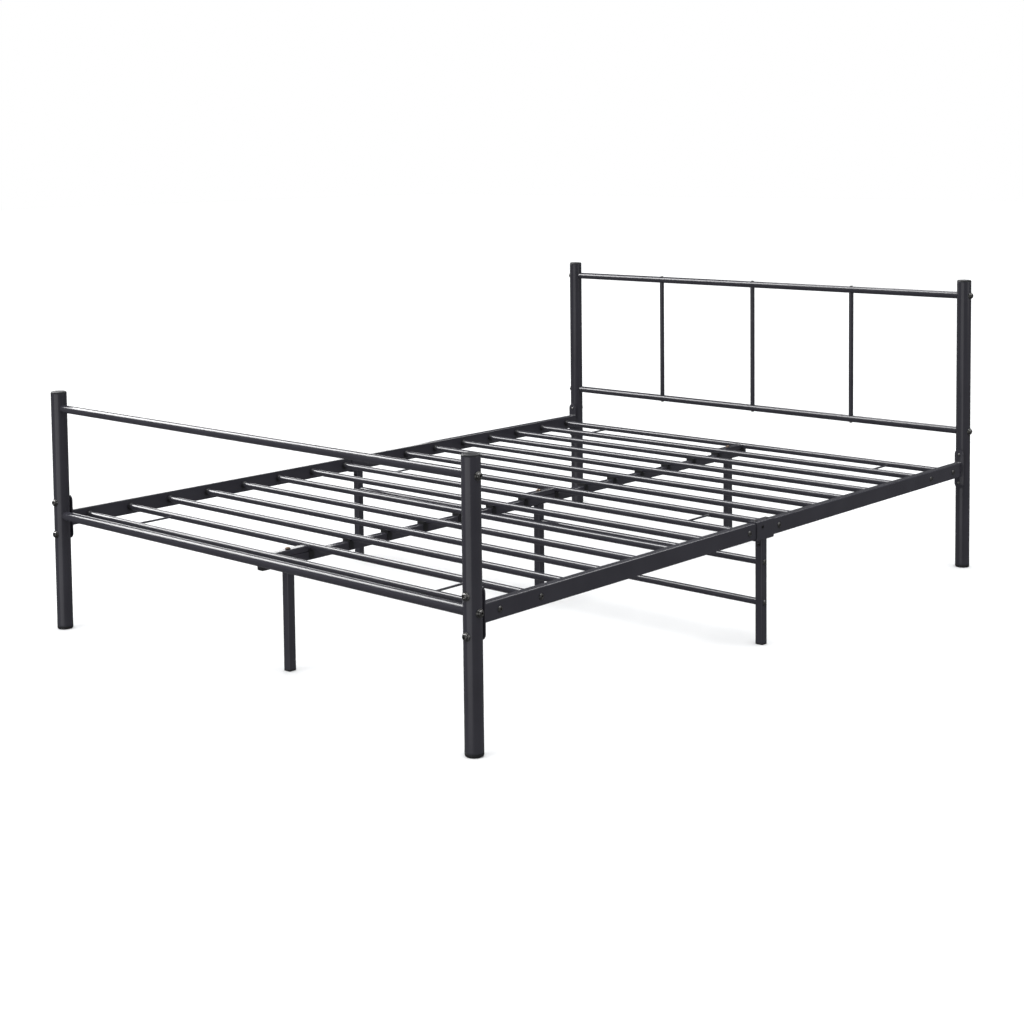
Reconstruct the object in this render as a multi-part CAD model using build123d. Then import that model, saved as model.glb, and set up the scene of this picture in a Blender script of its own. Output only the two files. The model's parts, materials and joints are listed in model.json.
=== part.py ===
"""Knock-down tubular steel bed frame, full size, with split side rails, slats and a centre support.

Millimetres. The origin is the centre of the footprint on the floor. +X is to the right seen from the
foot end, +Y runs from the foot end to the head end, and +Z is up.
"""

import os
from math import sqrt

from build123d import *

# Overall layout
POST_SPACING_X = 1370.0  # between post centres, across the bed
POST_SPACING_Y = 1953.0  # between post centres, along the bed
HEAD_HEIGHT = 788.0
FOOT_HEIGHT = 583.0

# Tube stock
POST_DIA = 38.0
BOARD_RAIL_DIA = 19.0
FOOT_LOWER_RAIL_DIA = 22.0
SPINDLE_DIA = 13.0
SLAT_DIA = 16.0
SIDE_RAIL_WIDTH = 20.0
SIDE_RAIL_HEIGHT = 38.0
SQUARE_TUBE = 20.0
HEAVY_WALL = 1.2
LIGHT_WALL = 1.0
FIT_GAP = 0.05  # between surfaces that are coped or plugged into each other
OVERSHOOT = 1.0  # how far a cutting shape runs past the face that it cuts

# Heights of the tube axes
HEAD_TOP_RAIL_Z = 745.0
HEAD_LOWER_RAIL_Z = 374.5
FOOT_TOP_RAIL_Z = 541.0
FOOT_LOWER_RAIL_Z = 279.0
SIDE_RAIL_Z = 271.0
SLAT_Z = 271.0
TIE_ROD_Z = 269.0
CENTRE_RAIL_TOP = 260.0
UPPER_CROSSBAR_Z = 194.0
LOWER_CROSSBAR_Z = 98.5

# Places across and along the bed
SIDE_RAIL_INSET = 3.0  # rail centre inboard of the post centre
SPINDLE_PITCH = 336.0
SLAT_COUNT = 16
SLAT_PITCH = 121.0
LADDER_PAIRS = ((1, 2), (8, 9), (15, 16))  # slats bolted through the side rails, tied in pairs
TIE_ROD_X = 497.0
CENTRE_RAIL_HALF_LENGTH = 923.0

# Plastic ends
CAP_RISE = 5.0
CAP_ROUNDING = 4.0
CAP_SKIRT = 14.0
SKIRT_WALL = 2.5
GLIDE_RISE = 8.0
GLIDE_ROUNDING = 4.0
PLUG_FLANGE = 4.0
PLUG_ROUNDING = 1.2
PLUG_DEPTH = 14.0
PLUG_WALL = 2.0
COLLAR_DIA = 18.6
COLLAR_LENGTH = 10.0
COLLAR_FLOOR = 2.0
COLLAR_ROUNDING = 0.8
COLLAR_PEG_DIA = 8.0
COLLAR_PEG_LENGTH = 4.0
SADDLE_LENGTH = 14.0
SADDLE_WALL = 2.0
SADDLE_CORNER = 1.5
SADDLE_TOP = 268.0
SADDLE_BOTTOM = 245.0

# Rail end plate
PLATE_WIDTH = 27.0
PLATE_HEIGHT = 106.0
PLATE_THICKNESS = 3.0
PLATE_CORNER = 12.5
PLATE_Z = 273.0
PLATE_BOLT_PITCH = 77.5

# Middle joint sleeve
SLEEVE_LENGTH = 68.0
SLEEVE_WALL = 2.5
SLEEVE_BASE = 4.0
SLEEVE_CORNER = 3.0
SLEEVE_CLEARANCE = 0.3
SPIGOT_LENGTH = 30.0

# Centre rail coupling, centre straps and tie rods
COUPLING_HALF_LENGTH = 80.0
COUPLING_WALL = 1.5
STRAP_WIDTH = 20.0
STRAP_HEIGHT = 14.0
TIE_ROD_DIA = 5.0

# Fasteners: shank diameter, shank length, head diameter, head height, hexagon socket across flats
M8_BOARD_BOLT = (8.0, 60.0, 14.0, 4.4, 5.0)
M8_PLATE_BOLT = (8.0, 45.0, 14.0, 4.4, 5.0)
M6_FRAME_BOLT = (6.0, 38.0, 13.0, 2.6, 4.0)
M6_STRAP_BOLT = (6.0, 50.0, 12.5, 4.2, 4.0)
M5_SPINDLE_SCREW = (5.0, 34.0, 9.0, 2.4, 3.0)
M4_SLEEVE_SCREW = (4.0, 6.0, 7.5, 2.0, 2.5)
BOLT_CLEARANCE = 0.4
THREAD_CLEARANCE = 0.1
HEAD_ROUNDING = 0.6  # of the head's height
SOCKET_FLOOR = 0.35  # of the head's height
TIP_CHAMFER = 0.1  # of the shank's diameter
WASHER_DIA = 18.0
WASHER_RISE = 1.6

SIDES = {"left": -1, "right": 1}
ENDS = {"foot": -1, "head": 1}
POST_X = POST_SPACING_X / 2
POST_Y = POST_SPACING_Y / 2
POST_RADIUS = POST_DIA / 2
RAIL_X = POST_X - SIDE_RAIL_INSET
RAIL_INNER_X = RAIL_X - SIDE_RAIL_WIDTH / 2
RAIL_OUTER_X = RAIL_X + SIDE_RAIL_WIDTH / 2
RAIL_END_Y = POST_Y - POST_RADIUS - PLATE_THICKNESS
SLAT_END_X = RAIL_INNER_X - COLLAR_FLOOR - FIT_GAP
PLATE_BOLT_Z = (PLATE_Z - PLATE_BOLT_PITCH / 2, PLATE_Z + PLATE_BOLT_PITCH / 2)
CENTRE_RAIL_Z = CENTRE_RAIL_TOP - SQUARE_TUBE / 2
CENTRE_RAIL_BOTTOM = CENTRE_RAIL_TOP - SQUARE_TUBE
SLEEVE_BOTTOM = SIDE_RAIL_Z - SIDE_RAIL_HEIGHT / 2 - SLEEVE_CLEARANCE - SLEEVE_BASE
SLEEVE_TOP = SIDE_RAIL_Z + SIDE_RAIL_HEIGHT / 2 + SLEEVE_CLEARANCE + SLEEVE_WALL
SLEEVE_OUTER_X = RAIL_OUTER_X + SLEEVE_CLEARANCE + SLEEVE_WALL
SLEEVE_SCREW_Y = 22.0
SLEEVE_FACE_SCREW = (-12.0, 279.0)  # Y and Z
LEG_SCREW_Z = 235.0
CROSSBAR_HEIGHTS = {"upper": UPPER_CROSSBAR_Z, "lower": LOWER_CROSSBAR_Z}
STRAP_TOP = CENTRE_RAIL_TOP + STRAP_HEIGHT
HEAD_BOARD_Z = (HEAD_LOWER_RAIL_Z, HEAD_TOP_RAIL_Z)
FOOT_BOARD_Z = (FOOT_LOWER_RAIL_Z, FOOT_TOP_RAIL_Z)
THREADED_PLUG_LENGTH = 22.0
BOARD_PLUG_SETBACK = 1.0  # from the post's near side to a board rail's plug
SPINDLE_PLUG_SETBACK = 0.5  # from the rail's near side to a spindle's plug
STUD_ENGAGEMENT = 18.0

TURNS = {"x": Rot(0, 90, 0), "y": Rot(-90, 0, 0), "z": Rot(0, 0, 0)}

nodes = {}


# Basic shapes

def at(axis, along, across, up):
    """Point from its position along an axis and its other two coordinates, in X, Y, Z order."""
    return {"x": (along, across, up), "y": (across, along, up), "z": (across, up, along)}[axis]


def bar(axis, radius, low, high, across, up):
    """Round bar along an axis from low to high."""
    place = Pos(*at(axis, (low + high) / 2, across, up))
    return place * TURNS[axis] * Cylinder(radius, high - low)


def tube(axis, diameter, wall, low, high, across, up):
    """Round tube along an axis from low to high."""
    outer = bar(axis, diameter / 2, low, high, across, up)
    return outer - bar(axis, diameter / 2 - wall, low - OVERSHOOT, high + OVERSHOOT, across, up)


def box_bar(axis, width, height, corner, low, high, across, up):
    """Rectangular bar with rounded edges along Y or Z."""
    normal = {"y": (0, 1, 0), "z": (0, 0, 1)}[axis]
    plane = Plane(origin=at(axis, low, across, up), x_dir=(1, 0, 0), z_dir=normal)
    return extrude(plane * RectangleRounded(width, height, corner), high - low)


def box_tube(axis, width, height, wall, low, high, across, up):
    """Rectangular tube with rounded edges along Y or Z."""
    outer = box_bar(axis, width, height, 2 * wall, low, high, across, up)
    cut_low = low - OVERSHOOT
    cut_high = high + OVERSHOOT
    return outer - box_bar(axis, width - 2 * wall, height - 2 * wall, wall, cut_low, cut_high, across, up)


def slat_y(number):
    """Y of a slat's axis; slat 1 is nearest the foot end."""
    return (number - (SLAT_COUNT + 1) / 2) * SLAT_PITCH


def pair_y(pair):
    """Y half way between the two slats of a ladder pair."""
    return (slat_y(pair[0]) + slat_y(pair[1])) / 2


def ladder_numbers():
    """Numbers of the slats that are bolted to the side rails."""
    return [number for pair in LADDER_PAIRS for number in pair]


def loose_numbers(end):
    """Numbers of the slats of one end that only sit in their collars."""
    middle = SLAT_COUNT // 2
    numbers = range(1, middle + 1) if end == "foot" else range(middle + 1, SLAT_COUNT + 1)
    return [number for number in numbers if number not in ladder_numbers()]


# Fasteners: each is drawn with its head standing on the XY plane and its shank pointing down

def bolt(size):
    """Button-head bolt with a hexagon socket."""
    shank_dia, shank_length, head_dia, head_height, socket = size
    head = Pos(0, 0, head_height / 2) * Cylinder(head_dia / 2, head_height)
    head = fillet(head.edges().sort_by(Axis.Z)[-1], head_height * HEAD_ROUNDING)
    hexagon = Pos(0, 0, head_height * SOCKET_FLOOR) * RegularPolygon(socket / 2, 6, major_radius=False)
    recess = extrude(hexagon, head_height)
    shank = Pos(0, 0, -shank_length / 2) * Cylinder(shank_dia / 2, shank_length)
    tip = shank.edges().sort_by(Axis.Z)[0]
    return head - recess + chamfer(tip, shank_dia * TIP_CHAMFER)


def aimed(shape, place, outward):
    """Moves a fastener so that its seat is at a place and its head points outward."""
    side = (0, 0, 1) if abs(outward[2]) < 0.5 else (1, 0, 0)
    plane = Plane(origin=place, x_dir=side, z_dir=outward)
    return plane * shape


# Posts

def post_corner(side, end):
    """X and Y of a post's axis."""
    return SIDES[side] * POST_X, ENDS[end] * POST_Y


def make_post(side, end):
    """Post tube with cross holes for the board rails along X and for the side rail along Y."""
    x, y = post_corner(side, end)
    top = (HEAD_HEIGHT if end == "head" else FOOT_HEIGHT) - CAP_RISE
    post = tube("z", POST_DIA, HEAVY_WALL, GLIDE_RISE, top, x, y)
    hole = (M8_BOARD_BOLT[0] + BOLT_CLEARANCE) / 2
    for z in HEAD_BOARD_Z if end == "head" else FOOT_BOARD_Z:
        post -= bar("x", hole, x - POST_DIA, x + POST_DIA, y, z)
    for z in PLATE_BOLT_Z:
        post -= bar("y", hole, y - POST_DIA, y + POST_DIA, x, z)
    return post


def post_skirt():
    """Ring inside the end of a post, centred on the origin."""
    radius = POST_RADIUS - HEAVY_WALL - FIT_GAP
    return Cylinder(radius, CAP_SKIRT) - Cylinder(radius - SKIRT_WALL, CAP_SKIRT)


def post_cap():
    """Domed plastic cap, flush with the post, on a skirt. Drawn with its seat on the XY plane."""
    head = Pos(0, 0, CAP_RISE / 2) * Cylinder(POST_RADIUS, CAP_RISE)
    head = fillet(head.edges().sort_by(Axis.Z)[-1], CAP_ROUNDING)
    return head + Pos(0, 0, -CAP_SKIRT / 2) * post_skirt()


def post_glide():
    """Plastic glide: a rounded foot, flush with the post, under a skirt. Drawn standing on the floor."""
    foot = Pos(0, 0, GLIDE_RISE / 2) * Cylinder(POST_RADIUS, GLIDE_RISE)
    foot = fillet(foot.edges().sort_by(Axis.Z)[0], GLIDE_ROUNDING)
    return foot + Pos(0, 0, GLIDE_RISE + CAP_SKIRT / 2) * post_skirt()


def make_posts():
    caps = []
    glides = []
    for end in ENDS:
        for side in SIDES:
            nodes[f"{end}_post_{side}"] = make_post(side, end)
            x, y = post_corner(side, end)
            height = HEAD_HEIGHT if end == "head" else FOOT_HEIGHT
            caps.append(Pos(x, y, height - CAP_RISE) * post_cap())
            glides.append(Pos(x, y, 0) * post_glide())
    nodes["post_caps"] = Compound(children=caps)
    nodes["post_glides"] = Compound(children=glides)


# Headboard and footboard

def board_rail(diameter, y, z):
    """Round rail along X whose ends are coped to fit round the posts."""
    rail = tube("x", diameter, HEAVY_WALL, -POST_X, POST_X, y, z)
    for sign in SIDES.values():
        rail -= bar("z", POST_RADIUS + FIT_GAP, z - diameter, z + diameter, sign * POST_X, y)
    return rail


def board_rail_plugs(diameter, y, z):
    """Threaded plug in each end of a board rail."""
    radius = diameter / 2 - HEAVY_WALL - FIT_GAP
    thread = (M8_BOARD_BOLT[0] + THREAD_CLEARANCE) / 2
    outer_end = POST_X - POST_RADIUS - BOARD_PLUG_SETBACK
    plugs = []
    for sign in SIDES.values():
        low, high = sorted((sign * outer_end, sign * (outer_end - THREADED_PLUG_LENGTH)))
        plug = bar("x", radius, low, high, y, z)
        plugs.append(plug - bar("x", thread, low - OVERSHOOT, high + OVERSHOOT, y, z))
    return plugs


def make_headboard():
    """Two rails and three spindles, with a screw through each rail into each end of each spindle."""
    hole = (M5_SPINDLE_SCREW[0] + BOLT_CLEARANCE) / 2
    thread = (M5_SPINDLE_SCREW[0] + THREAD_CLEARANCE) / 2
    rail_radius = BOARD_RAIL_DIA / 2
    rails = {"headboard_top_rail": HEAD_TOP_RAIL_Z, "headboard_lower_rail": HEAD_LOWER_RAIL_Z}
    spindle_places = {"left": -SPINDLE_PITCH, "centre": 0.0, "right": SPINDLE_PITCH}
    for name, z in rails.items():
        rail = board_rail(BOARD_RAIL_DIA, POST_Y, z)
        for x in spindle_places.values():
            rail -= bar("z", hole, z - BOARD_RAIL_DIA, z + BOARD_RAIL_DIA, x, POST_Y)
        nodes[name] = rail

    screws = []
    plugs = []
    plug_radius = SPINDLE_DIA / 2 - LIGHT_WALL - FIT_GAP
    for name, x in spindle_places.items():
        spindle = tube("z", SPINDLE_DIA, LIGHT_WALL, HEAD_LOWER_RAIL_Z, HEAD_TOP_RAIL_Z, x, POST_Y)
        for z, up in ((HEAD_TOP_RAIL_Z, 1), (HEAD_LOWER_RAIL_Z, -1)):
            spindle -= bar("x", rail_radius + FIT_GAP, x - SPINDLE_DIA, x + SPINDLE_DIA, POST_Y, z)
            screws.append(aimed(bolt(M5_SPINDLE_SCREW), (x, POST_Y, z + up * rail_radius), (0, 0, up)))
            outer_end = z - up * (rail_radius + SPINDLE_PLUG_SETBACK)
            low, high = sorted((outer_end, outer_end - up * THREADED_PLUG_LENGTH))
            plug = bar("z", plug_radius, low, high, x, POST_Y)
            plugs.append(plug - bar("z", thread, low - OVERSHOOT, high + OVERSHOOT, x, POST_Y))
        nodes[f"headboard_spindle_{name}"] = spindle
    nodes["spindle_screws"] = Compound(children=screws)
    nodes["spindle_plugs"] = Compound(children=plugs)


def make_footboard():
    nodes["footboard_top_rail"] = board_rail(BOARD_RAIL_DIA, -POST_Y, FOOT_TOP_RAIL_Z)
    nodes["footboard_lower_rail"] = board_rail(FOOT_LOWER_RAIL_DIA, -POST_Y, FOOT_LOWER_RAIL_Z)


def make_board_rail_plugs():
    plugs = []
    for z in HEAD_BOARD_Z:
        plugs += board_rail_plugs(BOARD_RAIL_DIA, POST_Y, z)
    plugs += board_rail_plugs(BOARD_RAIL_DIA, -POST_Y, FOOT_TOP_RAIL_Z)
    plugs += board_rail_plugs(FOOT_LOWER_RAIL_DIA, -POST_Y, FOOT_LOWER_RAIL_Z)
    nodes["board_rail_plugs"] = Compound(children=plugs)


def saddle_washer():
    """Washer hollowed to fit the post. Drawn with its front face on the XY plane and the post along Y."""
    depth = WASHER_RISE + POST_RADIUS - sqrt(POST_RADIUS**2 - (WASHER_DIA / 2) ** 2)
    disc = Pos(0, 0, -depth / 2) * Cylinder(WASHER_DIA / 2, depth)
    disc -= Pos(0, 0, -WASHER_RISE - POST_RADIUS) * Rot(90, 0, 0) * Cylinder(POST_RADIUS, 2 * WASHER_DIA)
    hole = (M8_BOARD_BOLT[0] + BOLT_CLEARANCE) / 2
    return disc - Cylinder(hole, 4 * depth)


def board_bolt_seats(side, end):
    """Place and outward direction of each bolt along X through a post into a board rail."""
    x, y = post_corner(side, end)
    sign = SIDES[side]
    seat_x = x + sign * (POST_RADIUS + WASHER_RISE)
    return [((seat_x, y, z), (sign, 0, 0)) for z in (HEAD_BOARD_Z if end == "head" else FOOT_BOARD_Z)]


def plate_bolt_seats(side, end):
    """Place and outward direction of each bolt along Y through a post into a side rail's end plate."""
    x, y = post_corner(side, end)
    sign = ENDS[end]
    seat_y = y + sign * (POST_RADIUS + WASHER_RISE)
    return [((x, seat_y, z), (0, sign, 0)) for z in PLATE_BOLT_Z]


def seated_washer(place, outward):
    """Saddle washer under a bolt's head, with its hollow along the post."""
    across = Vector(0, 0, 1).cross(Vector(*outward))
    plane = Plane(origin=place, x_dir=across, z_dir=outward)
    return plane * saddle_washer()


def make_post_fasteners():
    board_bolts = []
    plate_bolts = []
    washers = []
    for end in ENDS:
        for side in SIDES:
            board_seats = board_bolt_seats(side, end)
            plate_seats = plate_bolt_seats(side, end)
            board_bolts += [aimed(bolt(M8_BOARD_BOLT), *seat) for seat in board_seats]
            plate_bolts += [aimed(bolt(M8_PLATE_BOLT), *seat) for seat in plate_seats]
            washers += [seated_washer(*seat) for seat in board_seats + plate_seats]
    nodes["board_bolts"] = Compound(children=board_bolts)
    nodes["plate_bolts"] = Compound(children=plate_bolts)
    nodes["saddle_washers"] = Compound(children=washers)


# Side rails

def make_side_rail(side, end):
    """Half of a side rail, from its end plate to the middle joint."""
    x = SIDES[side] * RAIL_X
    sign = ENDS[end]
    low, high = sorted((sign * RAIL_END_Y, sign * FIT_GAP))
    rail = box_tube("y", SIDE_RAIL_WIDTH, SIDE_RAIL_HEIGHT, HEAVY_WALL, low, high, x, SIDE_RAIL_Z)
    inner_x = SIDES[side] * RAIL_INNER_X
    bolt_hole = (M6_FRAME_BOLT[0] + BOLT_CLEARANCE) / 2
    for number in range(1, SLAT_COUNT + 1):
        y = slat_y(number)
        if y * sign < 0:
            continue
        if number in ladder_numbers():
            rail -= bar("x", bolt_hole, x - SIDE_RAIL_WIDTH, x + SIDE_RAIL_WIDTH, y, SLAT_Z)
        else:
            peg_hole = COLLAR_PEG_DIA / 2 + FIT_GAP
            rail -= bar("x", peg_hole, inner_x - COLLAR_PEG_LENGTH, inner_x + COLLAR_PEG_LENGTH, y, SLAT_Z)
    screw_hole = (M4_SLEEVE_SCREW[0] + BOLT_CLEARANCE) / 2
    rail -= bar("z", screw_hole, SIDE_RAIL_Z, SLEEVE_TOP, x, sign * SLEEVE_SCREW_Y)
    if end == "foot":
        face_low, face_high = sorted((x, SIDES[side] * SLEEVE_OUTER_X))
        rail -= bar("x", screw_hole, face_low, face_high, *SLEEVE_FACE_SCREW)
    return rail


def make_end_plate(side, end):
    """Flat plate welded across the rail's end, with threaded holes for the bolts through the post."""
    x = SIDES[side] * POST_X
    sign = ENDS[end]
    low, high = sorted((sign * RAIL_END_Y, sign * (RAIL_END_Y + PLATE_THICKNESS)))
    plate = box_bar("y", PLATE_WIDTH, PLATE_HEIGHT, PLATE_CORNER, low, high, x, PLATE_Z)
    thread = (M8_PLATE_BOLT[0] + THREAD_CLEARANCE) / 2
    for z in PLATE_BOLT_Z:
        plate -= bar("y", thread, low - OVERSHOOT, high + OVERSHOOT, x, z)
    return plate


def make_side_rails():
    for side in SIDES:
        for end in ENDS:
            nodes[f"side_rail_{side}_{end}"] = make_side_rail(side, end)
            nodes[f"rail_end_plate_{side}_{end}"] = make_end_plate(side, end)


# Middle joints and legs

def make_joint_sleeve(side):
    """Rectangular sleeve round both rail halves, with a spigot below it for the side leg."""
    x = SIDES[side] * RAIL_X
    half = SLEEVE_LENGTH / 2
    width = SIDE_RAIL_WIDTH + 2 * (SLEEVE_CLEARANCE + SLEEVE_WALL)
    height = SLEEVE_TOP - SLEEVE_BOTTOM
    sleeve = box_bar("y", width, height, SLEEVE_CORNER, -half, half, x, (SLEEVE_TOP + SLEEVE_BOTTOM) / 2)
    inner_width = SIDE_RAIL_WIDTH + 2 * SLEEVE_CLEARANCE
    inner_height = SIDE_RAIL_HEIGHT + 2 * SLEEVE_CLEARANCE
    cut_half = half + OVERSHOOT
    sleeve -= box_bar("y", inner_width, inner_height, HEAVY_WALL, -cut_half, cut_half, x, SIDE_RAIL_Z)
    spigot = SQUARE_TUBE - 2 * (HEAVY_WALL + FIT_GAP)
    spigot_low = SLEEVE_BOTTOM - SPIGOT_LENGTH
    sleeve += box_bar("z", spigot, spigot, HEAVY_WALL, spigot_low, SLEEVE_BOTTOM + OVERSHOOT, x, 0)
    screw_hole = (M4_SLEEVE_SCREW[0] + THREAD_CLEARANCE) / 2
    for y in (-SLEEVE_SCREW_Y, SLEEVE_SCREW_Y):
        sleeve -= bar("z", screw_hole, SIDE_RAIL_Z, SLEEVE_TOP + OVERSHOOT, x, y)
    face_low, face_high = sorted((x, SIDES[side] * (SLEEVE_OUTER_X + OVERSHOOT)))
    sleeve -= bar("x", screw_hole, face_low, face_high, *SLEEVE_FACE_SCREW)
    return sleeve - bar("y", screw_hole, -SQUARE_TUBE / 2, 0, x, LEG_SCREW_Z)


def square_leg(x, y, top):
    """Square tube leg standing on its plastic plug."""
    return box_tube("z", SQUARE_TUBE, SQUARE_TUBE, HEAVY_WALL, PLUG_FLANGE, top, x, y)


def square_plug():
    """Plastic insert for a square tube: a flange flush with the tube and a hollow body inside it."""
    flange = box_bar("z", SQUARE_TUBE, SQUARE_TUBE, 2 * HEAVY_WALL, 0, PLUG_FLANGE, 0, 0)
    flange = fillet(flange.faces().sort_by(Axis.Z)[0].edges(), PLUG_ROUNDING)
    width = SQUARE_TUBE - 2 * (HEAVY_WALL + FIT_GAP)
    body = box_tube("z", width, width, PLUG_WALL, PLUG_FLANGE, PLUG_FLANGE + PLUG_DEPTH, 0, 0)
    return flange + body


def leg_top_plug(y):
    """Threaded plug in the top of a centre leg, which a strap bolt enters."""
    width = SQUARE_TUBE - 2 * (HEAVY_WALL + FIT_GAP)
    thread = (M6_STRAP_BOLT[0] + THREAD_CLEARANCE) / 2
    low = CENTRE_RAIL_BOTTOM - THREADED_PLUG_LENGTH
    plug = box_bar("z", width, width, HEAVY_WALL, low, CENTRE_RAIL_BOTTOM, 0, y)
    return plug - bar("z", thread, low - OVERSHOOT, CENTRE_RAIL_BOTTOM + OVERSHOOT, 0, y)


def make_legs():
    """Side legs under the rail joints and centre legs under the centre rail, each on a plastic plug."""
    bolt_hole = (M6_FRAME_BOLT[0] + BOLT_CLEARANCE) / 2
    screw_hole = (M4_SLEEVE_SCREW[0] + BOLT_CLEARANCE) / 2
    plugs = []
    for side, sign in SIDES.items():
        x = sign * RAIL_X
        leg = square_leg(x, 0, SLEEVE_BOTTOM)
        for z in CROSSBAR_HEIGHTS.values():
            leg -= bar("x", bolt_hole, x - SQUARE_TUBE, x + SQUARE_TUBE, 0, z)
        nodes[f"side_leg_{side}"] = leg - bar("y", screw_hole, -SQUARE_TUBE, 0, x, LEG_SCREW_Z)
        plugs.append(Pos(x, 0, 0) * square_plug())

    top_plugs = []
    for name, pair in zip(("foot", "middle", "head"), LADDER_PAIRS):
        y = pair_y(pair)
        leg = square_leg(0, y, CENTRE_RAIL_BOTTOM)
        if name == "middle":
            for z in CROSSBAR_HEIGHTS.values():
                leg -= bar("x", bolt_hole, -SQUARE_TUBE, SQUARE_TUBE, y, z)
        nodes[f"centre_leg_{name}"] = leg
        plugs.append(Pos(0, y, 0) * square_plug())
        top_plugs.append(leg_top_plug(y))
    nodes["leg_top_plugs"] = Compound(children=top_plugs)

    for sign in ENDS.values():
        plane = Plane(
            origin=(0, sign * (CENTRE_RAIL_HALF_LENGTH + PLUG_FLANGE), CENTRE_RAIL_Z),
            x_dir=(1, 0, 0),
            z_dir=(0, -sign, 0),
        )
        plugs.append(plane * square_plug())
    nodes["square_tube_plugs"] = Compound(children=plugs)


def make_crossbars():
    """Round crossbars between the three middle legs, joined through the centre leg by studs."""
    inner_end = SQUARE_TUBE / 2
    outer_end = RAIL_X - SQUARE_TUBE / 2
    studs = []
    for name, z in CROSSBAR_HEIGHTS.items():
        for side, sign in SIDES.items():
            low, high = sorted((sign * inner_end, sign * outer_end))
            nodes[f"{name}_crossbar_{side}"] = tube("x", SLAT_DIA, LIGHT_WALL, low, high, 0, z)
        stud_reach = inner_end + STUD_ENGAGEMENT
        studs.append(bar("x", M6_FRAME_BOLT[0] / 2, -stud_reach, stud_reach, 0, z))
    nodes["centre_studs"] = Compound(children=studs)


def make_joint_sleeves():
    screws = []
    for side, sign in SIDES.items():
        x = sign * RAIL_X
        nodes[f"joint_sleeve_{side}"] = make_joint_sleeve(side)
        seats = [((x, y, SLEEVE_TOP), (0, 0, 1)) for y in (-SLEEVE_SCREW_Y, SLEEVE_SCREW_Y)]
        seats.append(((sign * SLEEVE_OUTER_X, *SLEEVE_FACE_SCREW), (sign, 0, 0)))
        seats.append(((x, -SQUARE_TUBE / 2, LEG_SCREW_Z), (0, -1, 0)))
        screws += [aimed(bolt(M4_SLEEVE_SCREW), place, outward) for place, outward in seats]
    nodes["sleeve_screws"] = Compound(children=screws)


# Centre rail

def make_centre_rail():
    """Square tube in two halves under the slats, with an inner coupling across the joint."""
    hole = (M6_STRAP_BOLT[0] + BOLT_CLEARANCE) / 2
    low_z = CENTRE_RAIL_BOTTOM - OVERSHOOT
    high_z = CENTRE_RAIL_TOP + OVERSHOOT
    bolt_holes = [bar("z", hole, low_z, high_z, 0, pair_y(pair)) for pair in LADDER_PAIRS]
    for end, sign in ENDS.items():
        low, high = sorted((sign * FIT_GAP, sign * CENTRE_RAIL_HALF_LENGTH))
        rail = box_tube("y", SQUARE_TUBE, SQUARE_TUBE, HEAVY_WALL, low, high, 0, CENTRE_RAIL_Z)
        nodes[f"centre_rail_{end}"] = rail - bolt_holes
    size = SQUARE_TUBE - 2 * (HEAVY_WALL + FIT_GAP)
    reach = COUPLING_HALF_LENGTH
    coupling = box_tube("y", size, size, COUPLING_WALL, -reach, reach, 0, CENTRE_RAIL_Z)
    nodes["centre_rail_coupling"] = coupling - bolt_holes


def centre_saddle():
    """Plastic clip over the centre rail with a trough for a slat. Drawn at Y = 0."""
    width = SQUARE_TUBE + 2 * (FIT_GAP + SADDLE_WALL)
    half = SADDLE_LENGTH / 2
    middle = (SADDLE_TOP + SADDLE_BOTTOM) / 2
    body = box_bar("y", width, SADDLE_TOP - SADDLE_BOTTOM, SADDLE_CORNER, -half, half, 0, middle)
    slot = SQUARE_TUBE + 2 * FIT_GAP
    slot_height = 2 * (CENTRE_RAIL_TOP - SADDLE_BOTTOM)
    body -= Pos(0, 0, CENTRE_RAIL_TOP - slot_height / 2) * Box(slot, 2 * SADDLE_LENGTH, slot_height)
    return body - bar("x", SLAT_DIA / 2 + FIT_GAP, -width, width, 0, SLAT_Z)


# Slats

def slat(number):
    """Round tube across the bed."""
    return tube("x", SLAT_DIA, LIGHT_WALL, -SLAT_END_X, SLAT_END_X, slat_y(number), SLAT_Z)


def make_slats():
    """Loose slats sit in their collars; ladder slats also take a bolt into a threaded plug at each end."""
    for number in ladder_numbers():
        nodes[f"slat_{number:02d}"] = slat(number)
    for end in ENDS:
        nodes[f"loose_slats_{end}"] = Compound(children=[slat(number) for number in loose_numbers(end)])
    numbers = range(1, SLAT_COUNT + 1)
    saddles = [Pos(0, slat_y(number), 0) * centre_saddle() for number in numbers]
    nodes["centre_saddles"] = Compound(children=saddles)


def slat_collar(bolted):
    """Plastic cup for a slat's end, with a peg or a bolt hole. Drawn with its back on the XY plane."""
    cup = Pos(0, 0, COLLAR_LENGTH / 2) * Cylinder(COLLAR_DIA / 2, COLLAR_LENGTH)
    cup = fillet(cup.edges().sort_by(Axis.Z)[-1], COLLAR_ROUNDING)
    cup -= Pos(0, 0, COLLAR_FLOOR + COLLAR_LENGTH / 2) * Cylinder(SLAT_DIA / 2 + FIT_GAP, COLLAR_LENGTH)
    if bolted:
        return cup - Cylinder((M6_FRAME_BOLT[0] + BOLT_CLEARANCE) / 2, 4 * COLLAR_FLOOR)
    return cup + Pos(0, 0, -COLLAR_PEG_LENGTH / 2) * Cylinder(COLLAR_PEG_DIA / 2, COLLAR_PEG_LENGTH)


def make_slat_collars():
    cups = []
    for number in range(1, SLAT_COUNT + 1):
        cup = slat_collar(number in ladder_numbers())
        for sign in SIDES.values():
            cups.append(aimed(cup, (sign * RAIL_INNER_X, slat_y(number), SLAT_Z), (-sign, 0, 0)))
    nodes["slat_collars"] = Compound(children=cups)


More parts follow.
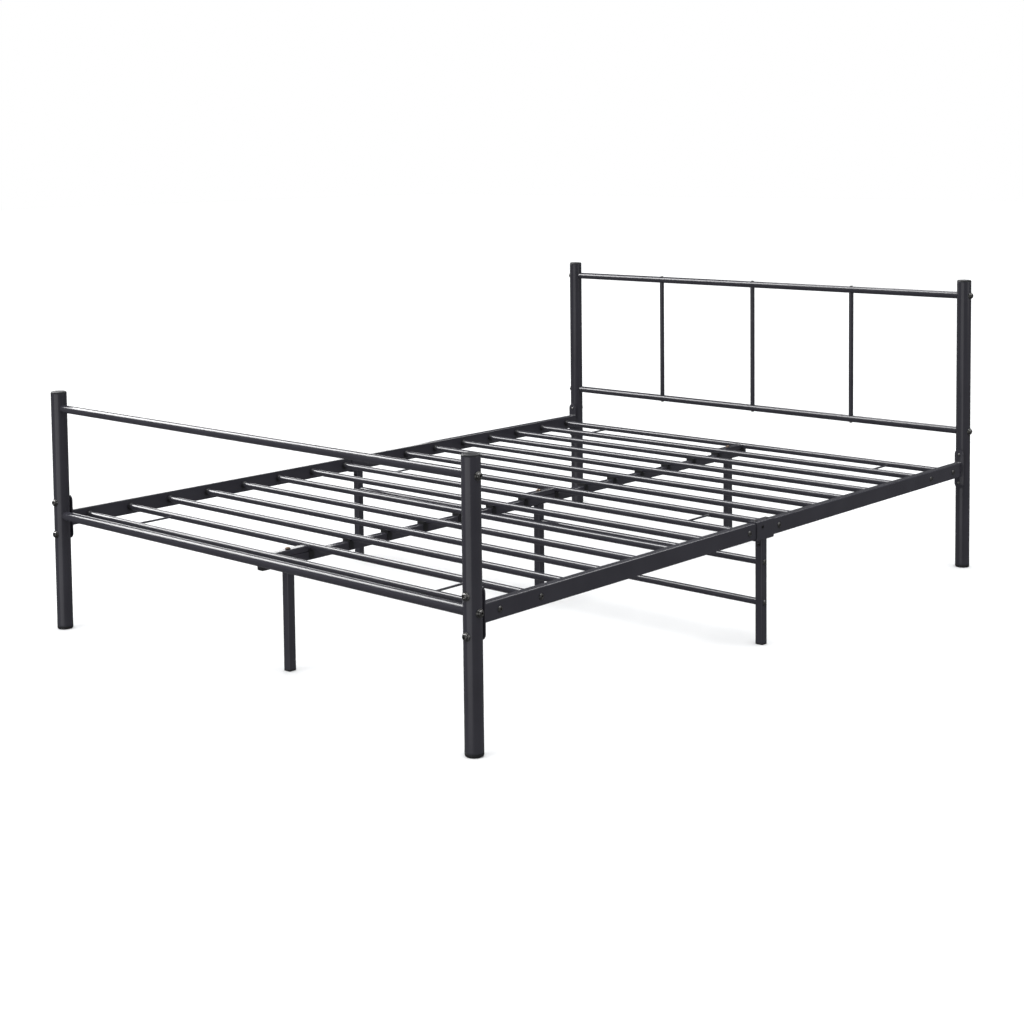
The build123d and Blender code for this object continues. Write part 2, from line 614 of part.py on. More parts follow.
def tube_end_plug(x_end, inward, y, z):
    """Threaded plug inside the end of a slat or crossbar."""
    low, high = sorted((x_end, x_end + inward * THREADED_PLUG_LENGTH))
    radius = SLAT_DIA / 2 - LIGHT_WALL - FIT_GAP
    thread = (M6_FRAME_BOLT[0] + THREAD_CLEARANCE) / 2
    return bar("x", radius, low, high, y, z) - bar("x", thread, low - OVERSHOOT, high + OVERSHOOT, y, z)


def make_frame_bolts():
    """Bolts into the ladder slats and crossbars, and the threaded plugs that they and the studs enter."""
    bolts = []
    plugs = []
    leg_outer = RAIL_X + SQUARE_TUBE / 2
    leg_inner = RAIL_X - SQUARE_TUBE / 2
    for sign in SIDES.values():
        for number in ladder_numbers():
            y = slat_y(number)
            bolts.append(aimed(bolt(M6_FRAME_BOLT), (sign * RAIL_OUTER_X, y, SLAT_Z), (sign, 0, 0)))
            plugs.append(tube_end_plug(sign * SLAT_END_X, -sign, y, SLAT_Z))
        for z in CROSSBAR_HEIGHTS.values():
            bolts.append(aimed(bolt(M6_FRAME_BOLT), (sign * leg_outer, 0, z), (sign, 0, 0)))
            plugs.append(tube_end_plug(sign * leg_inner, -sign, 0, z))
            plugs.append(tube_end_plug(sign * SQUARE_TUBE / 2, sign, 0, z))
    nodes["frame_bolts"] = Compound(children=bolts)
    nodes["tube_end_plugs"] = Compound(children=plugs)


# Ladder ties and centre straps

def make_tie_rods():
    """Thin rods welded between the slats of each ladder pair."""
    rods = []
    for first, second in LADDER_PAIRS:
        for sign in SIDES.values():
            x = sign * TIE_ROD_X
            rod = bar("y", TIE_ROD_DIA / 2, slat_y(first), slat_y(second), x, TIE_ROD_Z)
            for number in (first, second):
                cope = SLAT_DIA / 2 + FIT_GAP
                rod -= bar("x", cope, x - SLAT_DIA, x + SLAT_DIA, slat_y(number), SLAT_Z)
            rods.append(rod)
    nodes["tie_rods"] = Compound(children=rods)


def centre_strap(first, second):
    """Box section on the centre rail, welded between two slats and bolted down into the leg."""
    low = slat_y(first) + SADDLE_LENGTH / 2 + FIT_GAP
    high = slat_y(second) - SADDLE_LENGTH / 2 - FIT_GAP
    middle = CENTRE_RAIL_TOP + STRAP_HEIGHT / 2
    strap = box_tube("y", STRAP_WIDTH, STRAP_HEIGHT, HEAVY_WALL, low, high, 0, middle)
    for number in (first, second):
        strap -= bar("x", SLAT_DIA / 2 + FIT_GAP, -STRAP_WIDTH, STRAP_WIDTH, slat_y(number), SLAT_Z)
    hole = (M6_STRAP_BOLT[0] + BOLT_CLEARANCE) / 2
    centre = pair_y((first, second))
    return strap - bar("z", hole, CENTRE_RAIL_TOP - OVERSHOOT, STRAP_TOP + OVERSHOOT, 0, centre)


def make_centre_straps():
    nodes["centre_straps"] = Compound(children=[centre_strap(*pair) for pair in LADDER_PAIRS])
    bolts = [aimed(bolt(M6_STRAP_BOLT), (0, pair_y(pair), STRAP_TOP), (0, 0, 1)) for pair in LADDER_PAIRS]
    nodes["strap_bolts"] = Compound(children=bolts)


make_posts()
make_headboard()
make_footboard()
make_board_rail_plugs()
make_post_fasteners()
make_side_rails()
make_joint_sleeves()
make_legs()
make_crossbars()
make_centre_rail()
make_slats()
make_slat_collars()
make_frame_bolts()
make_tie_rods()
make_centre_straps()

os.makedirs("parts", exist_ok=True)
for name, shape in nodes.items():
    export_step(shape, f"parts/{name}.step")
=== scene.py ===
"""Metal bed frame: detailed meshes, materials, floor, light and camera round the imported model."""

import json
import random
from math import cos, pi, radians, sin, sqrt

import bmesh
import bpy
from mathutils import Matrix, Vector


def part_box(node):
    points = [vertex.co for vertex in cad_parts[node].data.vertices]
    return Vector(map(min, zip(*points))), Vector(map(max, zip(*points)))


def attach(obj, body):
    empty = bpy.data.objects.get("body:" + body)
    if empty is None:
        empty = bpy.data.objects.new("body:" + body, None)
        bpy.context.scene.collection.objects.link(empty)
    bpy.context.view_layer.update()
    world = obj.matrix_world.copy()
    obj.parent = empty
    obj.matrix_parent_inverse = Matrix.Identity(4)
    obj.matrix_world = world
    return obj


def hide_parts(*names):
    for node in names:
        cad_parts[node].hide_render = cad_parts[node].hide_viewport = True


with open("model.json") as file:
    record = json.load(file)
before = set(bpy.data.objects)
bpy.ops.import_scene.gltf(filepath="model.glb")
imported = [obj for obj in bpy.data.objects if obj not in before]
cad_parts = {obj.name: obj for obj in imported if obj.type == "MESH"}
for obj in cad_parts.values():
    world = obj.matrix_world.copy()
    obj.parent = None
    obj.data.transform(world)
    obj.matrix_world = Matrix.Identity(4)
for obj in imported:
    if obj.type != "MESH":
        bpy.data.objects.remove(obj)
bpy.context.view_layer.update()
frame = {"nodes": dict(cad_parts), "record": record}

MM = 0.001

# Tubes: radii, sides, walls, corners, the gap where parts fit together, and bevels
POST_RADIUS = 19.0 * MM
BOARD_RAIL_RADIUS = 9.5 * MM
FOOT_LOWER_RAIL_RADIUS = 11.0 * MM
SPINDLE_RADIUS = 6.5 * MM
SLAT_RADIUS = 8.0 * MM
TIE_ROD_RADIUS = 2.5 * MM
SIDE_RAIL_SIZE = (20.0 * MM, 38.0 * MM)
SQUARE_SIZE = (20.0 * MM, 20.0 * MM)
HEAVY_WALL = 1.2 * MM
LIGHT_WALL = 1.0 * MM
TUBE_CORNER = 2.4 * MM
FIT_GAP = 0.05 * MM
TUBE_BEVEL = 0.25 * MM
POST_BEVEL = 0.45 * MM

# Fasteners: shank radius, shank length, head radius, head height, socket across flats
BOARD_BOLT = (4.0 * MM, 60.0 * MM, 7.0 * MM, 4.4 * MM, 5.0 * MM)
PLATE_BOLT = (4.0 * MM, 45.0 * MM, 7.0 * MM, 4.4 * MM, 5.0 * MM)
FRAME_BOLT = (3.0 * MM, 38.0 * MM, 6.5 * MM, 2.6 * MM, 4.0 * MM)
STRAP_BOLT = (3.0 * MM, 50.0 * MM, 6.25 * MM, 4.2 * MM, 4.0 * MM)
SPINDLE_SCREW = (2.5 * MM, 34.0 * MM, 4.5 * MM, 2.4 * MM, 3.0 * MM)
SLEEVE_SCREW = (2.0 * MM, 6.0 * MM, 3.75 * MM, 2.0 * MM, 2.5 * MM)
WASHER_RADIUS = 9.0 * MM
WASHER_RISE = 1.6 * MM
THREAD_PITCH = 1.25 * MM
THREAD_DEPTH = 0.65 * MM
THREAD_LENGTH = 7.0 * MM
THREAD_LEAD_IN = 0.8 * MM
HEX_CORNER = 0.5774  # from the centre of a hexagon to its corner, over its size across flats
HEAD_EDGE = 0.22  # of the head's height, as are the two socket depths
SOCKET_FLOOR = 0.38
SOCKET_DIMPLE = 0.3

# Plates and the middle joint
PLATE_CORNER = 12.5 * MM
PLATE_BEVEL = 0.5 * MM
SLEEVE_CORNER = 3.0 * MM
SLEEVE_WALL = 2.5 * MM
SLEEVE_CLEARANCE = 0.3 * MM
SLEEVE_BEVEL = 0.4 * MM

# Plastics
CAP_RISE = 5.0 * MM
CAP_CROWN = 0.8 * MM
GLIDE_RISE = 8.0 * MM
END_ROUNDING = 4.0 * MM
END_BEVEL = 0.35 * MM
SKIRT_LENGTH = 14.0 * MM
SKIRT_WALL = 2.5 * MM
SKIRT_BEVEL = 0.4 * MM
COLLAR_RADIUS = 9.3 * MM
COLLAR_LENGTH = 10.0 * MM
COLLAR_FLOOR = 2.0 * MM
COLLAR_BAND = 3.0 * MM
COLLAR_ROUNDING = 0.8 * MM
PLUG_FLANGE = 4.0 * MM
PLUG_ROUNDING = 1.2 * MM
PLUG_DEPTH = 14.0 * MM
SADDLE_LENGTH = 14.0 * MM
SADDLE_WALL = 2.0 * MM
SADDLE_CORNER = 1.5 * MM

# Weld beads: radii, spacing of their rings and how much they ripple over how many rings
PLATE_WELD = 1.7 * MM
STRAP_WELD = 2.3 * MM
TIE_ROD_WELD = 1.1 * MM
STRAP_WELD_DROP = 5.0 * MM  # from the slats' axes down to the ends of the strap welds
WELD_STEP = 0.9 * MM
WELD_RIPPLE = (0.13, 3.1)
WELD_WANDER = (0.08, 17.3)

# Mesh density
ROUND = 48
POST_ROUND = 64
SMALL_ROUND = 24
THREAD_STEPS = 6  # rings in each turn of a thread
CORNER_STEPS = 5
SHARP_ANGLE = radians(34)

SIDES = {"left": -1, "right": 1}
ENDS = {"foot": -1, "head": 1}
SPINDLES = [f"headboard_spindle_{name}" for name in ("left", "centre", "right")]
SLAT_COUNT = 16
BOLTED_PAIRS = ((1, 2), (8, 9), (15, 16))
BOLTED_SLATS = [number for pair in BOLTED_PAIRS for number in pair]


def middle(node):
    """Centre of a CAD node's box."""
    low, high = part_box(node)
    return (low + high) / 2


# Places, taken from the frame where it gives them
POST_X = middle("head_post_right").x
POST_Y = middle("head_post_right").y
RAIL_X = middle("side_rail_right_foot").x
RAIL_Z = middle("side_rail_right_foot").z
RAIL_OUTER_X = RAIL_X + SIDE_RAIL_SIZE[0] / 2
RAIL_INNER_X = RAIL_X - SIDE_RAIL_SIZE[0] / 2
SLAT_Z = middle("slat_01").z
SLAT_PITCH = (middle("slat_16").y - middle("slat_01").y) / (SLAT_COUNT - 1)
SLAT_END_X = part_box("slat_01")[1].x
CENTRE_RAIL_Z = middle("centre_rail_foot").z
CENTRE_RAIL_TOP = CENTRE_RAIL_Z + SQUARE_SIZE[1] / 2
BOARD_RAILS = {
    "headboard_top_rail": BOARD_RAIL_RADIUS,
    "headboard_lower_rail": BOARD_RAIL_RADIUS,
    "footboard_top_rail": BOARD_RAIL_RADIUS,
    "footboard_lower_rail": FOOT_LOWER_RAIL_RADIUS,
}
PLATE_LOW, PLATE_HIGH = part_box("rail_end_plate_right_head")
PLATE_BOLT_REACH = 38.75 * MM
PLATE_BOLT_Z = [middle("rail_end_plate_right_head").z + sign * PLATE_BOLT_REACH for sign in (-1, 1)]
CROSSBAR_Z = {name: middle(f"{name}_crossbar_right").z for name in ("upper", "lower")}
SLEEVE_LOW, SLEEVE_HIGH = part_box("joint_sleeve_right")
SLEEVE_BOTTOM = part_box("side_leg_right")[1].z
SLEEVE_WIDTH = SIDE_RAIL_SIZE[0] + 2 * (SLEEVE_CLEARANCE + SLEEVE_WALL)
SLEEVE_SCREW_Y = 22.0 * MM
SLEEVE_FACE_SCREW = (-12.0 * MM, 279.0 * MM)  # Y and Z
LEG_SCREW_Z = 235.0 * MM

dice = random.Random(7)  # for the angles that the bolt heads are turned to


def slat_y(number):
    """Y of a slat's axis; slat 1 is nearest the foot end."""
    return (number - (SLAT_COUNT + 1) / 2) * SLAT_PITCH


def pair_y(pair):
    """Y halfway between the two slats of a pair."""
    return (slat_y(pair[0]) + slat_y(pair[1])) / 2


# Mesh building

def spot(axis, along, across, up):
    """Point from its position along an axis and its other two coordinates, in X, Y, Z order."""
    return Vector({"x": (along, across, up), "y": (across, along, up), "z": (across, up, along)}[axis])


def moved(end, offset):
    """An end, which is a number or a function of the offsets from the axis, moved along the axis."""
    if callable(end):
        return lambda across, up: end(across, up) + offset
    return end + offset


def ring_at(axis, end, offsets, across, up):
    """Ring of points from offsets round an axis."""
    points = []
    for da, du in offsets:
        along = end(da, du) if callable(end) else end
        points.append(spot(axis, along, across + da, up + du))
    return points


def circle(radius, count=ROUND):
    """Offsets round a circle."""
    return [(radius * cos(2 * pi * i / count), radius * sin(2 * pi * i / count)) for i in range(count)]


def quarter_turn(steps):
    """Angles in even steps from zero to a right angle."""
    return [pi / 2 * step / steps for step in range(steps + 1)]


def rounded_box(width, height, corner):
    """Offsets round a rectangle with rounded corners, with a point just inside each end of each flat."""
    hold = 0.3 * MM
    points = []
    for turn, (sx, sy) in enumerate(((1, 1), (-1, 1), (-1, -1), (1, -1))):
        centre_x = sx * (width / 2 - corner)
        centre_y = sy * (height / 2 - corner)
        arc = []
        for step in range(CORNER_STEPS + 1):
            angle = pi / 2 * (turn + step / CORNER_STEPS)
            arc.append((centre_x + corner * cos(angle), centre_y + corner * sin(angle)))
        start = pi / 2 * turn
        before = (arc[0][0] + hold * sin(start), arc[0][1] - hold * cos(start))
        after = (arc[-1][0] - hold * cos(start), arc[-1][1] - hold * sin(start))
        points += [before, *arc, after]
    return points


def inset_box(size, corner, inset):
    """Offsets round a rounded rectangle that is drawn in by an inset all round."""
    width, height = size
    return rounded_box(width - 2 * inset, height - 2 * inset, corner - inset)


class Shape:
    """A mesh being built."""

    def __init__(self):
        self.mesh = bmesh.new()

    def loft(self, rings, closed=False):
        """Faces from ring to ring; the last ring joins the first, or both ends are capped."""
        loops = [[self.mesh.verts.new(point) for point in ring] for ring in rings]
        pairs = list(zip(loops, loops[1:]))
        if closed:
            pairs.append((loops[-1], loops[0]))
        else:
            self.mesh.faces.new(loops[0][::-1])
            self.mesh.faces.new(loops[-1])
        for near, far in pairs:
            for i in range(len(near)):
                j = (i + 1) % len(near)
                self.mesh.faces.new((near[i], near[j], far[j], far[i]))

    def hollow(self, low, high, outer, inner, bevel=TUBE_BEVEL):
        """Shell from low to high; outer and inner turn an end and an inset into a ring.

        Rings a little way in from each edge keep the shading of the long faces flat.
        """
        rings = []
        for end, inward in ((low, 1), (high, -1)):
            side = [
                inner(moved(end, inward * 4 * bevel), 0),
                inner(moved(end, inward * bevel), 0),
                inner(end, -bevel),
                outer(end, bevel),
                outer(moved(end, inward * 0.3 * bevel), 0.3 * bevel),
                outer(moved(end, inward * bevel), 0),
                outer(moved(end, inward * 4 * bevel), 0),
            ]
            rings += side if inward > 0 else side[::-1]
        self.loft(rings, closed=True)

    def tube(self, axis, radius, wall, low, high, across, up, bevel=TUBE_BEVEL, count=ROUND):
        """Round tube along an axis."""
        self.hollow(
            low,
            high,
            lambda end, inset: ring_at(axis, end, circle(radius - inset, count), across, up),
            lambda end, inset: ring_at(axis, end, circle(radius - wall - inset, count), across, up),
            bevel,
        )

    def box_tube(self, axis, size, low, high, across, up):
        """Rectangular tube along an axis."""
        self.hollow(
            low,
            high,
            lambda end, inset: ring_at(axis, end, inset_box(size, TUBE_CORNER, inset), across, up),
            lambda end, inset: ring_at(
                axis, end, inset_box(size, TUBE_CORNER, HEAVY_WALL + inset), across, up
            ),
        )

    def place(self, matrix, rings, closed=False):
        """Loft of rings drawn round local Z, moved into place."""
        self.loft([[matrix @ point for point in ring] for ring in rings], closed)

    def bead(self, path, radius, closed=True):
        """Weld bead along a path round the Y axis, with the ripples of a hand-laid weld."""
        axis = Vector((0, 1, 0))
        path = evenly(path, WELD_STEP, closed)
        last = len(path) - 1
        rings = []
        for i, point in enumerate(path):
            after = path[(i + 1) % len(path)] if closed else path[min(i + 1, last)]
            before = path[i - 1] if closed else path[max(i - 1, 0)]
            tangent = (after - before).normalized()
            out = tangent.cross(axis).normalized()
            ripple = 1
            for size, period in (WELD_RIPPLE, WELD_WANDER):
                ripple += size * sin(2 * pi * i / period)
            if not closed:
                ripple *= sqrt(min(1.0, (min(i, last - i) + 0.3) / 2.5))
            rings.append([
                point + radius * ripple * (cos(a) * out + sin(a) * axis)
                for a in (2 * pi * k / 8 for k in range(8))
            ])
        self.loft(rings, closed)

    def piece(self, name, material, slot, *nodes):
        """Finishes the mesh as an object that stands for CAD nodes."""
        bmesh.ops.recalc_face_normals(self.mesh, faces=self.mesh.faces)
        for face in self.mesh.faces:
            face.smooth = True
        for edge in self.mesh.edges:
            edge.smooth = edge.calc_face_angle(pi) < SHARP_ANGLE
        mesh = bpy.data.meshes.new(name)
        self.mesh.to_mesh(mesh)
        self.mesh.free()
        mesh.materials.append(material)
        obj = bpy.data.objects.new(name, mesh)
        bpy.context.scene.collection.objects.link(obj)
        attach(obj, "root")
        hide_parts(*nodes)


def evenly(path, step, closed):
    """Points at even steps along a path."""
    corners = [*path, path[0]] if closed else list(path)
    lengths = [(b - a).length for a, b in zip(corners, corners[1:])]
    total = sum(lengths)
    count = max(8, round(total / step))
    points = []
    start = 0.0
    index = 0
    for i in range(count if closed else count + 1):
        goal = total * i / count
        while index < len(lengths) - 1 and start + lengths[index] < goal:
            start += lengths[index]
            index += 1
        points.append(corners[index].lerp(corners[index + 1], min(1.0, (goal - start) / lengths[index])))
    return points


def aim(place, outward, turn=0.0):
    """Matrix that stands local Z on a place, pointing outward, turned about it."""
    z_axis = Vector(outward)
    y_axis = Vector((0, 0, 1)) if abs(z_axis.z) < 0.5 else Vector((0, 1, 0))
    x_axis = y_axis.cross(z_axis)
    rotation = Matrix((x_axis, y_axis, z_axis)).transposed().to_4x4()
    return Matrix.Translation(place) @ rotation @ Matrix.Rotation(turn, 4, "Z")


def level(radius, z, count=ROUND):
    """Ring at a height; the radius may be a function of the angle."""
    points = []
    for i in range(count):
        angle = 2 * pi * i / count
        r = radius(angle) if callable(radius) else radius
        points.append(Vector((r * cos(angle), r * sin(angle), z)))
    return points


def hexagon(flats):
    """Radius of a hexagon as a function of the angle."""
    return lambda angle: flats / 2 / cos((angle + pi / 6) % (pi / 3) - pi / 6)


# Fasteners

def thread_radius(shank, z, fade):
    """Radius of a thread as a function of the angle; its crests grow as fade goes from 0 to 1."""
    def radius(angle):
        phase = (z / THREAD_PITCH - angle / (2 * pi)) % 1.0
        valley = abs(2 * phase - 1)
        return shank - THREAD_DEPTH * (1 - fade + fade * valley)
    return radius


def shank_rings(size, threaded):
    """Rings up a bolt's shank, from its tip to just under its head."""
    shank, length, _, height, _ = size
    if threaded:
        rings = [level(0.6 * shank, -length)]
        steps = round(THREAD_LENGTH / THREAD_PITCH * THREAD_STEPS)
        for i in range(steps + 1):
            z = -length + THREAD_LEAD_IN + (THREAD_LENGTH - THREAD_LEAD_IN) * i / steps
            rings.append(level(thread_radius(shank, z, min(1.0, i / THREAD_STEPS)), z))
    else:
        rings = [level(0.8 * shank, -length), level(shank, -length + 0.2 * shank)]
    rings.append(level(shank, -0.02 * height))
    return rings


def head_rings(size):
    """Rings over a button head and down into its hexagon socket."""
    _, _, head, height, socket = size
    edge = HEAD_EDGE * height
    rim = socket * HEX_CORNER + 0.12 * head
    mouth = hexagon(socket)
    rings = [level(head - 0.25 * edge, 0), level(head, 0.35 * edge)]
    for angle in quarter_turn(7):
        rings.append(level(rim + (head - rim) * cos(angle), edge + (height - edge) * sin(angle)))
    rings += [
        level(lambda angle: mouth(angle) + 0.05 * head, height),
        level(mouth, height - 0.05 * head),
        level(mouth, SOCKET_FLOOR * height),
        level(0.15 * socket, SOCKET_DIMPLE * height),
    ]
    return rings


def add_bolt(shape, place, outward, size, threaded=False):
    """Button-head bolt with a hexagon socket, turned to a chance angle."""
    matrix = aim(place, outward, dice.uniform(0, pi / 3))
    shape.place(matrix, shank_rings(size, threaded) + head_rings(size))


def add_washer(shape, place, outward):
    """Washer with its back hollowed to the post, which stands along local Y."""
    def back(ring_radius, lift=0.0):
        points = []
        for point in level(ring_radius, 0):
            z = sqrt(POST_RADIUS**2 - point.x**2) - POST_RADIUS - WASHER_RISE
            points.append(Vector((point.x, point.y, z + lift)))
        return points

    hole = BOARD_BOLT[0] + 0.2 * MM
    bevel = 0.35 * MM
    rings = [
        level(hole, 0),
        level(WASHER_RADIUS - bevel, 0),
        level(WASHER_RADIUS - 0.3 * bevel, -0.3 * bevel),
        level(WASHER_RADIUS, -bevel),
        back(WASHER_RADIUS, 0.2 * MM),
        back(WASHER_RADIUS - 0.2 * MM, 0.03 * MM),
        back(hole, 0.03 * MM),
    ]
    shape.place(aim(place, outward), rings, closed=True)


# Materials

def new_material(name):
    """Material with its node tree, its shader and its object coordinates."""
    material = bpy.data.materials.new(name)
    material.use_nodes = True
    tree = material.node_tree
    shader = tree.nodes["Principled BSDF"]
    coords = tree.nodes.new("ShaderNodeTexCoord").outputs["Object"]
    return material, tree, shader, coords


def add_noise(tree, coords, feature, detail=2.0, roughness=0.5):
    """Noise whose features are about the given size."""
    noise = tree.nodes.new("ShaderNodeTexNoise")
    noise.inputs["Scale"].default_value = 1 / feature
    noise.inputs["Detail"].default_value = detail
    noise.inputs["Roughness"].default_value = roughness
    tree.links.new(coords, noise.inputs["Vector"])
    return noise.outputs["Fac"]


def add_ramp(tree, source, stops):
    """Colours or grey values spread over a source."""
    ramp = tree.nodes.new("ShaderNodeValToRGB")
    elements = ramp.color_ramp.elements
    while len(elements) < len(stops):
        elements.new(0.5)
    for element, (position, colour) in zip(elements, stops):
        element.position = position
        element.color = (*colour, 1) if isinstance(colour, tuple) else (colour, colour, colour, 1)
    tree.links.new(source, ramp.inputs["Fac"])
    return ramp.outputs["Color"]


def add_mix(tree, share, first, second):
    """Mix of two colours by a share from 0 to 1."""
    mix = tree.nodes.new("ShaderNodeMix")
    mix.data_type = "RGBA"
    tree.links.new(share, mix.inputs["Factor"])
    tree.links.new(first, mix.inputs["A"])
    tree.links.new(second, mix.inputs["B"])
    return mix.outputs["Result"]


def add_bump(tree, height, distance, strength):
    """Bump of a height in metres."""
    bump = tree.nodes.new("ShaderNodeBump")
    bump.inputs["Distance"].default_value = distance
    bump.inputs["Strength"].default_value = strength
    tree.links.new(height, bump.inputs["Height"])
    return bump.outputs["Normal"]


def powder_coat(name, dark, light):
    """Satin powder coat: faint orange peel, fine pigment speckle and slow changes of tone and gloss."""
    material, tree, shader, coords = new_material(name)
    slow = add_noise(tree, coords, 0.09, detail=3)
    speckle = add_noise(tree, coords, 3 * MM, detail=2)
    tone = add_ramp(tree, slow, ((0.35, dark), (0.65, light)))
    bright = add_ramp(tree, slow, ((0.35, light), (0.65, tuple(1.06 * c for c in light))))
    share = add_ramp(tree, speckle, ((0.62, 0.0), (0.74, 1.0)))
    tree.links.new(add_mix(tree, share, tone, bright), shader.inputs["Base Color"])
    gloss = add_noise(tree, coords, 14 * MM, detail=4)
    tree.links.new(add_ramp(tree, gloss, ((0.3, 0.18), (0.7, 0.22))), shader.inputs["Roughness"])
    peel = add_bump(tree, add_noise(tree, coords, 5 * MM, detail=1), 0.03 * MM, 0.3)
    tree.links.new(peel, shader.inputs["Normal"])
    shader.inputs["IOR"].default_value = 1.5
    return material


def moulded_plastic(name):
    """Black plastic with a fine spark-eroded grain."""
    material, tree, shader, coords = new_material(name)
    slow = add_noise(tree, coords, 12 * MM, detail=3)
    tree.links.new(
        add_ramp(tree, slow, ((0.3, (0.014, 0.014, 0.016)), (0.7, (0.02, 0.02, 0.0225)))),
        shader.inputs["Base Color"],
    )
    tree.links.new(add_ramp(tree, slow, ((0.3, 0.4), (0.7, 0.5))), shader.inputs["Roughness"])
    grain = add_bump(tree, add_noise(tree, coords, 0.6 * MM, detail=1), 0.02 * MM, 0.4)
    tree.links.new(grain, shader.inputs["Normal"])
    shader.inputs["IOR"].default_value = 1.45
    shader.inputs["Specular IOR Level"].default_value = 0.3
    return material


def plated_steel(name, stops, roughness):
    """Zinc plated steel: colour that drifts with the plating, rubbed gloss and fine tool marks."""
    material, tree, shader, coords = new_material(name)
    drift = add_noise(tree, coords, 4 * MM, detail=5, roughness=0.65)
    tree.links.new(add_ramp(tree, drift, stops), shader.inputs["Base Color"])
    rub = add_noise(tree, coords, 1.6 * MM, detail=4)
    low, high = roughness
    tree.links.new(add_ramp(tree, rub, ((0.3, low), (0.7, high))), shader.inputs["Roughness"])
    marks = add_bump(tree, add_noise(tree, coords, 0.35 * MM, detail=3), 0.02 * MM, 0.5)
    tree.links.new(marks, shader.inputs["Normal"])
    shader.inputs["Metallic"].default_value = 1.0
    return material


COAT = powder_coat("satin_powder_coat", (0.031, 0.0302, 0.038), (0.036, 0.0352, 0.044))
PLASTIC = moulded_plastic("moulded_black_plastic")
DARK_STEEL = plated_steel(
    "black_zinc_steel",
    ((0.3, (0.1, 0.098, 0.095)), (0.5, (0.19, 0.187, 0.181)), (0.7, (0.33, 0.323, 0.312))),
    (0.26, 0.38),
)
BLACKED_STEEL = plated_steel(
    "blacked_screw_steel",
    ((0.3, (0.025, 0.025, 0.026)), (0.7, (0.06, 0.059, 0.058))),
    (0.3, 0.42),
)
BRONZE_STEEL = plated_steel(
    "yellow_zinc_steel",
    ((0.3, (0.08, 0.055, 0.045)), (0.5, (0.15, 0.11, 0.08)), (0.7, (0.22, 0.15, 0.12))),
    (0.28, 0.42),
)
BARE_STEEL = plated_steel(
    "bright_zinc_steel",
    ((0.3, (0.42, 0.42, 0.44)), (0.7, (0.62, 0.62, 0.63))),
    (0.28, 0.42),
)
FINISHES = {
    "frame_powder_coat": COAT,
    "black_plastic": PLASTIC,
    "dark_fastener_steel": DARK_STEEL,
    "bronze_fastener_steel": BRONZE_STEEL,
    "bare_steel": BARE_STEEL,
}
SLOTS = {row["node"]: row["material_slot"] for row in frame["record"]["subparts"]}


def finish(shape, *nodes, material=None):
    """Ends a shape that stands for nodes of one material slot."""
    slot = SLOTS[nodes[0]]
    shape.piece(f"{nodes[0]}_detail", material or FINISHES[slot], slot, *nodes)


# Posts

def post_corners():
    """Name of each post, the signs of its X and Y, and the height of its top."""
    for end, end_sign in ENDS.items():
        for side, side_sign in SIDES.items():
            name = f"{end}_post_{side}"
            yield name, side_sign, end_sign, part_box(name)[1].z


def make_posts():
    """The four upright tubes."""
    for name, side, end, top in post_corners():
        shape = Shape()
        place = (side * POST_X, end * POST_Y)
        shape.tube("z", POST_RADIUS, HEAVY_WALL, GLIDE_RISE, top, *place, POST_BEVEL, POST_ROUND)
        finish(shape, name)


def make_caps():
    """Crowned caps: a rounded head on a hollow skirt."""
    skirt = POST_RADIUS - HEAVY_WALL - FIT_GAP
    rings = [
        level(skirt - SKIRT_WALL, -0.5 * MM, POST_ROUND),
        level(skirt - SKIRT_WALL, -SKIRT_LENGTH, POST_ROUND),
        level(skirt - SKIRT_BEVEL, -SKIRT_LENGTH, POST_ROUND),
        level(skirt, -SKIRT_LENGTH + SKIRT_BEVEL, POST_ROUND),
        level(skirt, 0, POST_ROUND),
        level(POST_RADIUS - END_BEVEL, 0, POST_ROUND),
        level(POST_RADIUS, END_BEVEL, POST_ROUND),
    ]
    for angle in quarter_turn(8):
        radius = POST_RADIUS - END_ROUNDING * (1 - cos(angle))
        z = CAP_RISE - CAP_CROWN - END_ROUNDING * (1 - sin(angle))
        rings.append(level(radius, z, POST_ROUND))
    edge = POST_RADIUS - END_ROUNDING
    for share in (0.8, 0.6, 0.4, 0.2, 0.05):
        rings.append(level(edge * share, CAP_RISE - CAP_CROWN * share**2, POST_ROUND))
    shape = Shape()
    for _, side, end, top in post_corners():
        shape.place(Matrix.Translation((side * POST_X, end * POST_Y, top)), rings)
    finish(shape, "post_caps")


def make_glides():
    """Glides: a rounded foot under a hollow skirt."""
    skirt = POST_RADIUS - HEAVY_WALL - FIT_GAP
    skirt_top = GLIDE_RISE + SKIRT_LENGTH
    rings = [level(POST_RADIUS - END_ROUNDING - 3 * MM, 0, POST_ROUND)]
    for angle in quarter_turn(8):
        radius = POST_RADIUS - END_ROUNDING * (1 - sin(angle))
        rings.append(level(radius, END_ROUNDING * (1 - cos(angle)), POST_ROUND))
    rings += [
        level(POST_RADIUS, GLIDE_RISE - END_BEVEL, POST_ROUND),
        level(POST_RADIUS - END_BEVEL, GLIDE_RISE, POST_ROUND),
        level(skirt, GLIDE_RISE, POST_ROUND),
        level(skirt, skirt_top - SKIRT_BEVEL, POST_ROUND),
        level(skirt - SKIRT_BEVEL, skirt_top, POST_ROUND),
        level(skirt - SKIRT_WALL, skirt_top, POST_ROUND),
        level(skirt - SKIRT_WALL, GLIDE_RISE, POST_ROUND),
    ]
    shape = Shape()
    for _, side, end, _ in post_corners():
        shape.place(Matrix.Translation((side * POST_X, end * POST_Y, 0)), rings)
    finish(shape, "post_glides")


# Headboard and footboard

